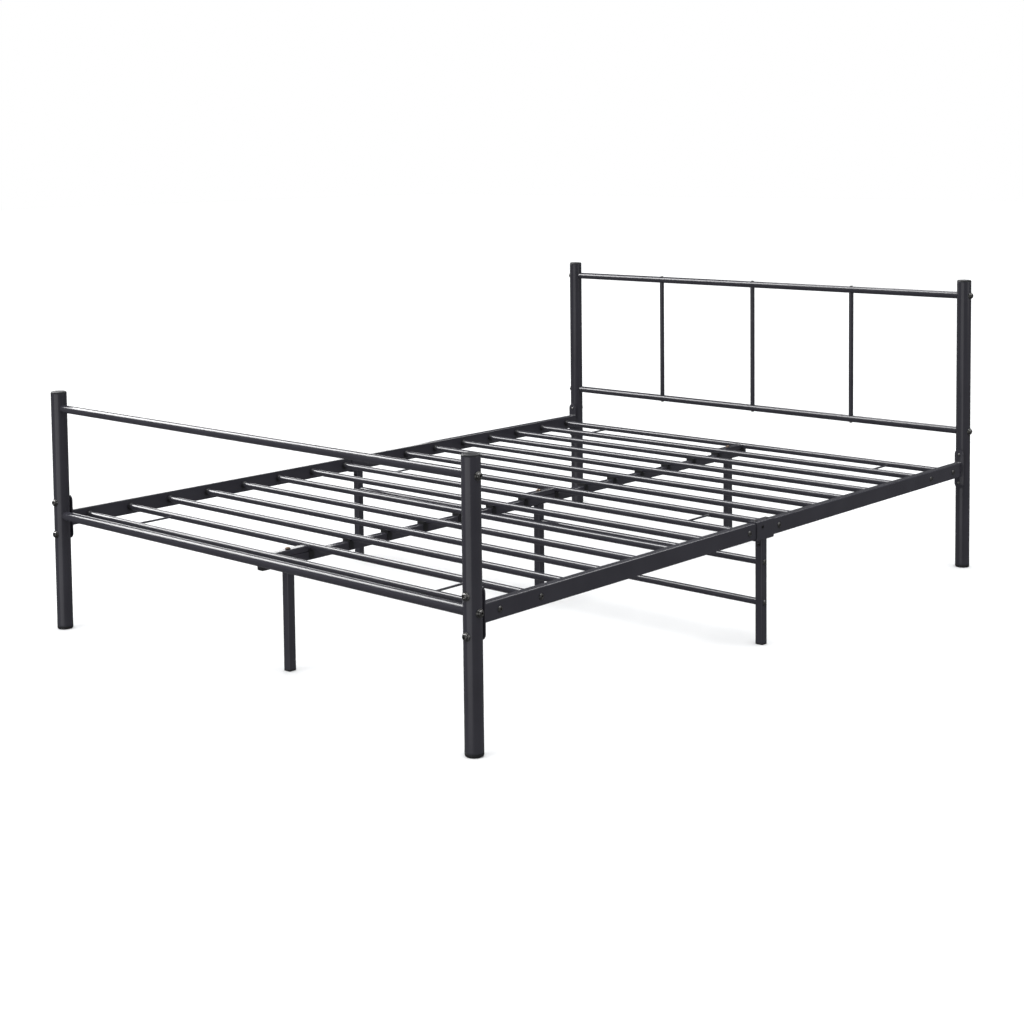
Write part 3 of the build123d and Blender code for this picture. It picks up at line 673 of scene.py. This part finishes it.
def post_cope(side):
    """Where a rail along X meets a post, as a function of the offsets from the rail's axis."""
    reach = POST_RADIUS + FIT_GAP
    return lambda across, up: side * (POST_X - sqrt(reach**2 - across**2))


def make_board_rails():
    """Rails between the posts, coped to them."""
    for name, radius in BOARD_RAILS.items():
        place = middle(name)
        shape = Shape()
        shape.tube("x", radius, HEAVY_WALL, post_cope(-1), post_cope(1), place.y, place.z)
        finish(shape, name)


def make_spindles():
    """Headboard spindles, coped to the rails above and below."""
    low_rail = middle("headboard_lower_rail").z
    top_rail = middle("headboard_top_rail").z
    reach = BOARD_RAIL_RADIUS + FIT_GAP
    for node in SPINDLES:
        place = middle(node)
        shape = Shape()
        shape.tube(
            "z",
            SPINDLE_RADIUS,
            LIGHT_WALL,
            lambda across, up: low_rail + sqrt(reach**2 - up**2),
            lambda across, up: top_rail - sqrt(reach**2 - up**2),
            place.x,
            place.y,
        )
        finish(shape, node)


def make_spindle_screws():
    """Screws through the headboard's rails into both ends of each spindle."""
    top = middle("headboard_top_rail").z + BOARD_RAIL_RADIUS
    bottom = middle("headboard_lower_rail").z - BOARD_RAIL_RADIUS
    shape = Shape()
    for node in SPINDLES:
        place = middle(node)
        add_bolt(shape, (place.x, place.y, top), (0, 0, 1), SPINDLE_SCREW)
        add_bolt(shape, (place.x, place.y, bottom), (0, 0, -1), SPINDLE_SCREW)
    finish(shape, "spindle_screws")


def make_post_fasteners():
    """Bolts through the posts into the rails and the end plates, with their washers."""
    board_bolts = Shape()
    plate_bolts = Shape()
    washers = Shape()
    seat = POST_RADIUS + WASHER_RISE
    for end_name, end in ENDS.items():
        board_z = [middle(name).z for name in BOARD_RAILS if name.startswith(end_name)]
        for side in SIDES.values():
            x = side * POST_X
            y = end * POST_Y
            for z in board_z:
                place = (x + side * seat, y, z)
                add_bolt(board_bolts, place, (side, 0, 0), BOARD_BOLT)
                add_washer(washers, place, (side, 0, 0))
            for z in PLATE_BOLT_Z:
                place = (x, y + end * seat, z)
                add_bolt(plate_bolts, place, (0, end, 0), PLATE_BOLT, threaded=True)
                add_washer(washers, place, (0, end, 0))
    finish(board_bolts, "board_bolts")
    finish(plate_bolts, "plate_bolts")
    finish(washers, "saddle_washers")


# Side rails and middle joints

def make_end_plate(node, end, rail_x):
    """End plate with the weld bead that goes round its rail."""
    centre = middle(node)
    size = (PLATE_HIGH.x - PLATE_LOW.x, PLATE_HIGH.z - PLATE_LOW.z)
    low, high = sorted((end * PLATE_LOW.y, end * PLATE_HIGH.y))
    rings = []
    for y, inset in (
        (low, PLATE_BEVEL),
        (low + 0.3 * PLATE_BEVEL, 0.3 * PLATE_BEVEL),
        (low + PLATE_BEVEL, 0),
        (high - PLATE_BEVEL, 0),
        (high - 0.3 * PLATE_BEVEL, 0.3 * PLATE_BEVEL),
        (high, PLATE_BEVEL),
    ):
        rings.append(ring_at("y", y, inset_box(size, PLATE_CORNER, inset), centre.x, centre.z))
    weld = ring_at("y", end * PLATE_LOW.y, rounded_box(*SIDE_RAIL_SIZE, TUBE_CORNER), rail_x, RAIL_Z)
    shape = Shape()
    shape.loft(rings)
    shape.bead(weld, PLATE_WELD)
    finish(shape, node)


def make_side_rails():
    """The two halves of each side rail, each with its end plate."""
    for side_name, side in SIDES.items():
        for end_name, end in ENDS.items():
            x = side * RAIL_X
            low, high = sorted((end * FIT_GAP, end * PLATE_LOW.y))
            shape = Shape()
            shape.box_tube("y", SIDE_RAIL_SIZE, low, high, x, RAIL_Z)
            finish(shape, f"side_rail_{side_name}_{end_name}")
            make_end_plate(f"rail_end_plate_{side_name}_{end_name}", end, x)


def make_joint_sleeves():
    """Sleeves round the middle joints, each with a spigot for its leg."""
    outer = (SLEEVE_WIDTH, SLEEVE_HIGH.z - SLEEVE_BOTTOM)
    outer_z = SLEEVE_HIGH.z - outer[1] / 2
    inner = (SIDE_RAIL_SIZE[0] + 2 * SLEEVE_CLEARANCE, SIDE_RAIL_SIZE[1] + 2 * SLEEVE_CLEARANCE)
    width = SQUARE_SIZE[0] - 2 * (HEAVY_WALL + FIT_GAP)
    spigot = rounded_box(width, width, HEAVY_WALL)
    for name, side in SIDES.items():
        x = side * RAIL_X
        shape = Shape()
        shape.hollow(
            SLEEVE_LOW.y,
            SLEEVE_HIGH.y,
            lambda end, inset: ring_at("y", end, inset_box(outer, SLEEVE_CORNER, inset), x, outer_z),
            lambda end, inset: ring_at("y", end, inset_box(inner, HEAVY_WALL, inset), x, RAIL_Z),
            SLEEVE_BEVEL,
        )
        shape.loft([ring_at("z", z, spigot, x, 0) for z in (SLEEVE_LOW.z, SLEEVE_BOTTOM + 0.5 * MM)])
        finish(shape, f"joint_sleeve_{name}")


def make_sleeve_screws():
    """Screws in the top and the outer face of each sleeve, and in the leg below it."""
    shape = Shape()
    for side in SIDES.values():
        x = side * RAIL_X
        for y in (-SLEEVE_SCREW_Y, SLEEVE_SCREW_Y):
            add_bolt(shape, (x, y, SLEEVE_HIGH.z), (0, 0, 1), SLEEVE_SCREW)
        add_bolt(shape, (x + side * SLEEVE_WIDTH / 2, *SLEEVE_FACE_SCREW), (side, 0, 0), SLEEVE_SCREW)
        add_bolt(shape, (x, -SQUARE_SIZE[1] / 2, LEG_SCREW_Z), (0, -1, 0), SLEEVE_SCREW)
    finish(shape, "sleeve_screws", material=BLACKED_STEEL)


# Legs and crossbars

def leg_places():
    """X and Y of each square leg, by node."""
    places = {f"side_leg_{name}": (side * RAIL_X, 0.0) for name, side in SIDES.items()}
    for name, pair in zip(("foot", "middle", "head"), BOLTED_PAIRS):
        places[f"centre_leg_{name}"] = (0.0, pair_y(pair))
    return places


def make_legs():
    """The five square legs."""
    for node, (x, y) in leg_places().items():
        shape = Shape()
        shape.box_tube("z", SQUARE_SIZE, PLUG_FLANGE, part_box(node)[1].z, x, y)
        finish(shape, node)


def make_square_plugs():
    """Plugs under the square legs and in the centre rail's ends, each with a rounded flange."""
    body = HEAVY_WALL + FIT_GAP
    flange_bevel = 0.3 * MM
    tip_bevel = 0.5 * MM
    tip = PLUG_FLANGE + PLUG_DEPTH
    profile = []
    for angle in quarter_turn(4):
        profile.append((PLUG_ROUNDING * (1 - cos(angle)), PLUG_ROUNDING * (1 - sin(angle))))
    profile += [
        (PLUG_FLANGE - flange_bevel, 0),
        (PLUG_FLANGE, flange_bevel),
        (PLUG_FLANGE, body),
        (tip - tip_bevel, body),
        (tip, body + tip_bevel),
    ]
    rings = []
    for z, inset in profile:
        width = SQUARE_SIZE[0] - 2 * inset
        outline = rounded_box(width, width, TUBE_CORNER - 0.9 * inset)
        rings.append([Vector((across, up, z)) for across, up in outline])

    matrices = [Matrix.Translation((x, y, 0)) for x, y in leg_places().values()]
    rail_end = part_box("centre_rail_head")[1].y
    for end in ENDS.values():
        place = (0, end * (rail_end + PLUG_FLANGE), CENTRE_RAIL_Z)
        matrices.append(aim(place, (0, -end, 0)))
    shape = Shape()
    for matrix in matrices:
        shape.place(matrix, rings)
    finish(shape, "square_tube_plugs")


def make_crossbars():
    """Two bars, one above the other, from the middle leg to each side leg."""
    for name, z in CROSSBAR_Z.items():
        for side_name, side in SIDES.items():
            low, high = sorted((side * SQUARE_SIZE[0] / 2, side * (RAIL_X - SQUARE_SIZE[0] / 2)))
            shape = Shape()
            shape.tube("x", SLAT_RADIUS, LIGHT_WALL, low, high, 0, z)
            finish(shape, f"{name}_crossbar_{side_name}")


# Centre rail

def make_centre_rail():
    """The two halves of the centre rail."""
    for name in ENDS:
        node = f"centre_rail_{name}"
        low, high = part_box(node)
        shape = Shape()
        shape.box_tube("y", SQUARE_SIZE, low.y, high.y, 0, CENTRE_RAIL_Z)
        finish(shape, node)


def make_saddles():
    """Clips over the centre rail: the top of each follows its slat."""
    inner = SQUARE_SIZE[0] / 2 + FIT_GAP
    outer = inner + SADDLE_WALL
    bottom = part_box("centre_saddles")[0].z
    half = SADDLE_LENGTH / 2
    reach = SLAT_RADIUS + FIT_GAP
    shape = Shape()

    def outline(y, inset):
        top = SLAT_Z - sqrt(reach**2 - y**2) - 0.2 * inset
        low = bottom + inset
        wide = outer - inset
        points = [(wide, low)]
        for angle in quarter_turn(4):
            x = wide - SADDLE_CORNER * (1 - cos(angle))
            points.append((x, top - SADDLE_CORNER * (1 - sin(angle))))
        points.append((0.0, top))
        points += [(-x, z) for x, z in points[5:0:-1]]
        points += [
            (-wide, low),
            (-inner, low),
            (-inner, CENTRE_RAIL_TOP),
            (inner, CENTRE_RAIL_TOP),
            (inner, low),
        ]
        return points

    for number in range(1, SLAT_COUNT + 1):
        centre = slat_y(number)
        steps = [(-half, 0.4 * MM), (-half + 0.15 * MM, 0.12 * MM), (-half + 0.4 * MM, 0.0)]
        steps += [(half * k / 6, 0.0) for k in range(-5, 6)]
        steps += [(half - 0.4 * MM, 0.0), (half - 0.15 * MM, 0.12 * MM), (half, 0.4 * MM)]
        rings = [[Vector((x, centre + y, z)) for x, z in outline(y, inset)] for y, inset in steps]
        shape.loft(rings)
    finish(shape, "centre_saddles")


def make_straps():
    """Box sections on the centre rail, notched and welded to the slats of each pair."""
    shape = Shape()
    low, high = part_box("centre_straps")
    size = (high.x - low.x, high.z - low.z)
    centre_z = (low.z + high.z) / 2
    reach = SLAT_RADIUS + FIT_GAP
    clear = SADDLE_LENGTH / 2 + FIT_GAP
    weld_low = SLAT_Z - STRAP_WELD_DROP - centre_z
    outline = rounded_box(*size, TUBE_CORNER)
    right = [point for point in outline if point[0] > 0 and point[1] > weld_low]
    left = [point for point in outline if point[0] < 0 and point[1] > weld_low]
    arch = [(size[0] / 2, weld_low), *right, *left, (-size[0] / 2, weld_low)]

    def notch(number, toward):
        def end(across, up):
            above = centre_z + up - SLAT_Z
            return slat_y(number) + toward * max(clear, sqrt(max(0.0, reach**2 - above**2)))
        return end

    for first, second in BOLTED_PAIRS:
        ends = (notch(first, 1), notch(second, -1))
        shape.box_tube("y", size, *ends, 0, centre_z)
        for end in ends:
            shape.bead(ring_at("y", end, arch, 0, centre_z), STRAP_WELD, closed=False)
    finish(shape, "centre_straps")


def make_strap_bolts():
    """Bolts down through the box sections and the centre rail into the centre legs."""
    shape = Shape()
    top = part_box("centre_straps")[1].z
    for pair in BOLTED_PAIRS:
        add_bolt(shape, (0, pair_y(pair), top), (0, 0, 1), STRAP_BOLT)
    finish(shape, "strap_bolts")


# Slats

def add_slat(shape, number):
    """Slat tube, added to a shape."""
    shape.tube("x", SLAT_RADIUS, LIGHT_WALL, -SLAT_END_X, SLAT_END_X, slat_y(number), SLAT_Z)


def make_slats():
    """Bolted slats one by one, and the loose ones of each end together."""
    for number in BOLTED_SLATS:
        shape = Shape()
        add_slat(shape, number)
        finish(shape, f"slat_{number:02d}")
    half = SLAT_COUNT // 2
    for end, numbers in (("foot", range(1, half + 1)), ("head", range(half + 1, SLAT_COUNT + 1))):
        shape = Shape()
        for number in numbers:
            if number not in BOLTED_SLATS:
                add_slat(shape, number)
        finish(shape, f"loose_slats_{end}")


def make_collars():
    """Cups on the rails' inner faces that take the slats' ends."""
    bore = SLAT_RADIUS + FIT_GAP
    rings = [
        level(0.5 * bore, COLLAR_FLOOR),
        level(0.5 * bore, 0),
        level(COLLAR_RADIUS - 0.2 * MM, 0),
        level(COLLAR_RADIUS, 0.3 * MM),
        level(COLLAR_RADIUS, COLLAR_BAND),
        level(COLLAR_RADIUS - 0.25 * MM, COLLAR_BAND + 0.3 * MM),
    ]
    for angle in quarter_turn(4):
        radius = COLLAR_RADIUS - 0.3 * MM - COLLAR_ROUNDING * (1 - cos(angle))
        rings.append(level(radius, COLLAR_LENGTH - COLLAR_ROUNDING * (1 - sin(angle))))
    rings += [
        level(bore + 0.25 * MM, COLLAR_LENGTH),
        level(bore, COLLAR_LENGTH - 0.4 * MM),
        level(bore, COLLAR_FLOOR),
    ]
    shape = Shape()
    for number in range(1, SLAT_COUNT + 1):
        for side in SIDES.values():
            matrix = aim((side * RAIL_INNER_X, slat_y(number), SLAT_Z), (-side, 0, 0))
            shape.place(matrix, rings, closed=True)
    finish(shape, "slat_collars")


def make_frame_bolts():
    """Bolts through the side rails into the bolted slats and through the side legs into the bars."""
    bolts = Shape()
    for side in SIDES.values():
        for number in BOLTED_SLATS:
            add_bolt(bolts, (side * RAIL_OUTER_X, slat_y(number), SLAT_Z), (side, 0, 0), FRAME_BOLT)
        for z in CROSSBAR_Z.values():
            add_bolt(bolts, (side * (RAIL_X + SQUARE_SIZE[0] / 2), 0, z), (side, 0, 0), FRAME_BOLT)
    finish(bolts, "frame_bolts")


def make_tie_rods():
    """Thin rods welded between the slats of each pair."""
    shape = Shape()
    low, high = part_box("tie_rods")
    rod_x = (high.x - low.x) / 2 - TIE_ROD_RADIUS
    rod_z = low.z + TIE_ROD_RADIUS
    rise = rod_z - SLAT_Z
    reach = SLAT_RADIUS + FIT_GAP
    outline = circle(TIE_ROD_RADIUS, SMALL_ROUND)

    def cope(number, toward):
        return lambda across, up: slat_y(number) + toward * sqrt(reach**2 - (up + rise) ** 2)

    for first, second in BOLTED_PAIRS:
        for side in SIDES.values():
            ends = (cope(first, 1), cope(second, -1))
            rings = [ring_at("y", end, outline, side * rod_x, rod_z) for end in ends]
            shape.loft(rings)
            for path in rings:
                shape.bead(path, TIE_ROD_WELD)
    finish(shape, "tie_rods")


make_posts()
make_caps()
make_glides()
make_board_rails()
make_spindles()
make_spindle_screws()
make_post_fasteners()
make_side_rails()
make_joint_sleeves()
make_sleeve_screws()
make_legs()
make_square_plugs()
make_crossbars()
make_centre_rail()
make_saddles()
make_straps()
make_strap_bolts()
make_slats()
make_collars()
make_frame_bolts()
make_tie_rods()

# The parts inside the tubes keep their CAD meshes
for node, obj in frame["nodes"].items():
    for material_slot in obj.material_slots:
        material_slot.material = FINISHES[SLOTS[node]]


# Floor, light and camera

FLOOR_SIZE = 60
BACKGROUND_GLOW = 1.0  # as the camera sees it
AMBIENT_GLOW = 0.6
REFLECTED_GLOW = 0.12
OVERHEAD_POWER = 2.7
OVERHEAD_ANGLE = radians(60)
SOFTBOX_TARGET = Vector((0, 0, 0.35))
LENS = 60.46
SENSOR = 36.0
SHIFT = (0.0142, -0.235)
CAMERA_PLACE = (2.8895, -3.3045, 1.1465)
CAMERA_YAW = radians(42.47)
CAMERA_TILT = radians(90 - 3.96)
CAMERA_ROLL = radians(-0.65)


def make_floor():
    """Plain pale floor, left out of reflections and bounced light."""
    material, tree, shader, coords = new_material("pale_studio_floor")
    cloud = add_noise(tree, coords, 0.7, detail=3)
    tree.links.new(add_ramp(tree, cloud, ((0.3, 0.875), (0.7, 0.885))), shader.inputs["Base Color"])
    shader.inputs["Roughness"].default_value = 0.9
    shader.inputs["Specular IOR Level"].default_value = 0.1
    bpy.ops.mesh.primitive_plane_add(size=FLOOR_SIZE, location=(0, 0, 0))
    floor = bpy.context.object
    floor.name = "studio_floor"
    floor.data.materials.append(material)
    floor.visible_glossy = False
    floor.visible_diffuse = False


def make_world():
    """Even light all round that reflections see dimly, and a plain pale background past the floor."""
    world = bpy.data.worlds.new("studio")
    world.use_nodes = True
    tree = world.node_tree
    tree.nodes.clear()
    path = tree.nodes.new("ShaderNodeLightPath")

    def background(colour, strength):
        node = tree.nodes.new("ShaderNodeBackground")
        node.inputs["Color"].default_value = (*colour, 1)
        node.inputs["Strength"].default_value = strength
        return node.outputs["Background"]

    def choose(ray, other, chosen):
        mix = tree.nodes.new("ShaderNodeMixShader")
        tree.links.new(path.outputs[ray], mix.inputs["Fac"])
        tree.links.new(other, mix.inputs[1])
        tree.links.new(chosen, mix.inputs[2])
        return mix.outputs["Shader"]

    ambient = background((1.0, 1.0, 1.0), AMBIENT_GLOW)
    reflected = background((0.96, 0.98, 1.0), REFLECTED_GLOW)
    around = choose("Is Glossy Ray", ambient, reflected)
    seen = choose("Is Camera Ray", around, background((1.0, 1.0, 1.0), BACKGROUND_GLOW))
    output = tree.nodes.new("ShaderNodeOutputWorld")
    tree.links.new(seen, output.inputs["Surface"])
    bpy.context.scene.world = world


def make_overhead():
    """Wide soft light from straight above."""
    light = bpy.data.lights.new("overhead", "SUN")
    light.energy = OVERHEAD_POWER
    light.angle = OVERHEAD_ANGLE
    light.color = (0.97, 0.985, 1.0)
    obj = bpy.data.objects.new("overhead", light)
    bpy.context.scene.collection.objects.link(obj)


def make_softbox(name, place, size, power, gloss=True, fill=True):
    """Soft rectangular light that faces the bed's middle, for gloss, for plain fill or for both."""
    light = bpy.data.lights.new(name, "AREA")
    light.shape = "RECTANGLE"
    light.size, light.size_y = size
    light.energy = power
    obj = bpy.data.objects.new(name, light)
    place = Vector(place)
    obj.location = place
    obj.rotation_euler = (place - SOFTBOX_TARGET).to_track_quat("Z", "Y").to_euler()
    obj.visible_glossy = gloss
    obj.visible_diffuse = fill
    bpy.context.scene.collection.objects.link(obj)


def make_camera():
    """The photograph's viewpoint: as much vertical shift as other views can take, the rest as tilt."""
    camera = bpy.data.cameras.new("camera")
    camera.sensor_width = SENSOR
    camera.lens = LENS
    camera.shift_x, camera.shift_y = SHIFT
    obj = bpy.data.objects.new("camera", camera)
    yaw = Matrix.Rotation(CAMERA_YAW, 4, "Z")
    tilt = Matrix.Rotation(CAMERA_TILT, 4, "X")
    roll = Matrix.Rotation(CAMERA_ROLL, 4, "Z")
    obj.matrix_world = Matrix.Translation(CAMERA_PLACE) @ yaw @ tilt @ roll
    bpy.context.scene.collection.objects.link(obj)
    bpy.context.scene.camera = obj


make_floor()
make_world()
make_overhead()
make_softbox("high_left_softbox", (-2.6, -1.0, 3.3), (1.7, 4.0), 290, fill=False)
make_softbox("low_left_softbox", (-3.6, 1.4, 1.1), (2.8, 0.9), 28, fill=False)
make_softbox("high_back_softbox", (-0.9, 3.2, 3.2), (2.4, 1.2), 50, fill=False)
make_softbox("low_front_softbox", (0.6, -5.0, -0.1), (5.0, 2.4), 33, fill=False)
make_softbox("front_left_softbox", (-1.7, -4.6, 1.5), (4.0, 3.0), 95, gloss=False)
make_softbox("right_softbox", (4.3, 1.5, 1.6), (2.4, 2.4), 20)
make_camera()
bpy.context.scene.view_settings.view_transform = "Standard"
